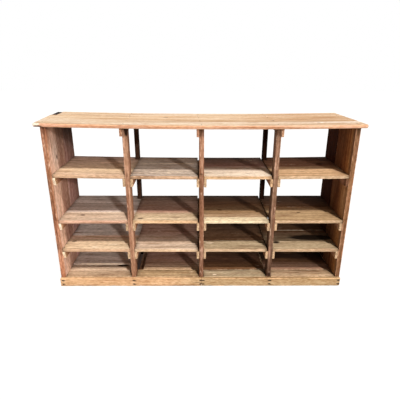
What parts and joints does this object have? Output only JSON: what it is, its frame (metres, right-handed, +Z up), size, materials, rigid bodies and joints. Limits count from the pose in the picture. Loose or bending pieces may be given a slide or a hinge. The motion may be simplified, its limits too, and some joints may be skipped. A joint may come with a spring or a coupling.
{
  "type": "pigeonhole cabinet",
  "caption": "Low wide open-backed pigeonhole cabinet of old pine boards, with shelves on cleats between ladder dividers, an overhanging top and a nailed plinth.",
  "frame": {"origin": "on the floor, under the middle of the cabinet's box in width and depth", "axes": "+X along the width to the viewer's right, +Y from the front to the back, +Z up; the front faces -Y"},
  "size_m": [1.78, 0.472, 1],
  "materials": {
    "pine_top": "waxed honey pine, worn along the front edge",
    "pine_uprights": "dark red-brown aged pine",
    "pine_shelves": "bare aged pine, grey-brown towards the back",
    "pine_cleats": "bare sawn pine with pale ends",
    "pine_plinth": "waxed honey pine",
    "rusty_nail_iron": "rusted wire nails"
  },
  "bodies": {
    "root": {"bearer_left": "pine_cleats", "bearer_right": "pine_cleats", "bearers_divider_1": "pine_cleats", "bearers_divider_2": "pine_cleats", "bearers_divider_3": "pine_cleats", "bottom_back_1": "pine_shelves", "bottom_back_2": "pine_shelves", "bottom_back_3": "pine_shelves", "bottom_back_4": "pine_shelves", "bottom_front_1": "pine_shelves", "bottom_front_2": "pine_shelves", "bottom_front_3": "pine_shelves", "bottom_front_4": "pine_shelves", "cleat_left_shelf_1": "pine_cleats", "cleat_left_shelf_2": "pine_cleats", "cleat_left_shelf_3": "pine_cleats", "cleat_right_shelf_1": "pine_cleats", "cleat_right_shelf_2": "pine_cleats", "cleat_right_shelf_3": "pine_cleats", "cleats_divider_1_shelf_1": "pine_cleats", "cleats_divider_1_shelf_2": "pine_cleats", "cleats_divider_1_shelf_3": "pine_cleats", "cleats_divider_2_shelf_1": "pine_cleats", "cleats_divider_2_shelf_2": "pine_cleats", "cleats_divider_2_shelf_3": "pine_cleats", "cleats_divider_3_shelf_1": "pine_cleats", "cleats_divider_3_shelf_2": "pine_cleats", "cleats_divider_3_shelf_3": "pine_cleats", "plinth_left": "pine_plinth", "plinth_nails": "rusty_nail_iron", "plinth_right": "pine_plinth", "post_back_1": "pine_uprights", "post_back_2": "pine_uprights", "post_back_3": "pine_uprights", "post_front_1": "pine_uprights", "post_front_2": "pine_uprights", "post_front_3": "pine_uprights", "shelf_1_bay_1": "pine_shelves", "shelf_1_bay_2": "pine_shelves", "shelf_1_bay_3": "pine_shelves", "shelf_1_bay_4": "pine_shelves", "shelf_2_bay_1": "pine_shelves", "shelf_2_bay_2": "pine_shelves", "shelf_2_bay_3": "pine_shelves", "shelf_2_bay_4": "pine_shelves", "shelf_3_bay_1": "pine_shelves", "shelf_3_bay_2": "pine_shelves", "shelf_3_bay_3": "pine_shelves", "shelf_3_bay_4": "pine_shelves", "side_left_back": "pine_uprights", "side_left_front": "pine_uprights", "side_right_back": "pine_uprights", "side_right_front": "pine_uprights", "top_board_back": "pine_top", "top_board_front": "pine_top", "top_cleat_1": "pine_cleats", "top_cleat_2": "pine_cleats", "top_cleat_3": "pine_cleats"}
  },
  "joints": []
}
